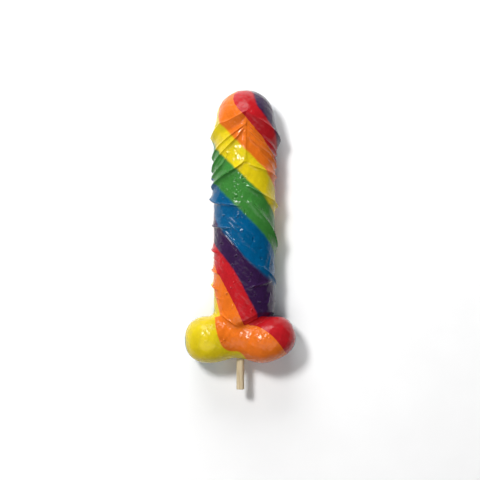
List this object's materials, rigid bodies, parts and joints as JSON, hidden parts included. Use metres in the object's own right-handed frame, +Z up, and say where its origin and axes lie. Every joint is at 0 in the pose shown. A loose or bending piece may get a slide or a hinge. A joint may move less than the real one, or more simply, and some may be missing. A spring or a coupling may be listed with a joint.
{
  "type": "novelty lollipop",
  "caption": "Penis-shaped moulded hard candy lollipop with twisted rainbow stripes on a round wooden stick, lying on its back.",
  "frame": {"origin": "on the surface the candy lies on, under the middle of the whole lollipop", "axes": "+Y along the stick towards the head, +Z up out of the shown side, +X to the right as the shown side is seen"},
  "size_m": [0.0633, 0.1706, 0.0311],
  "materials": {
    "candy": "gloss",
    "stick": "matte"
  },
  "bodies": {
    "root": {"candy": "candy", "stick": "stick"}
  },
  "joints": []
}
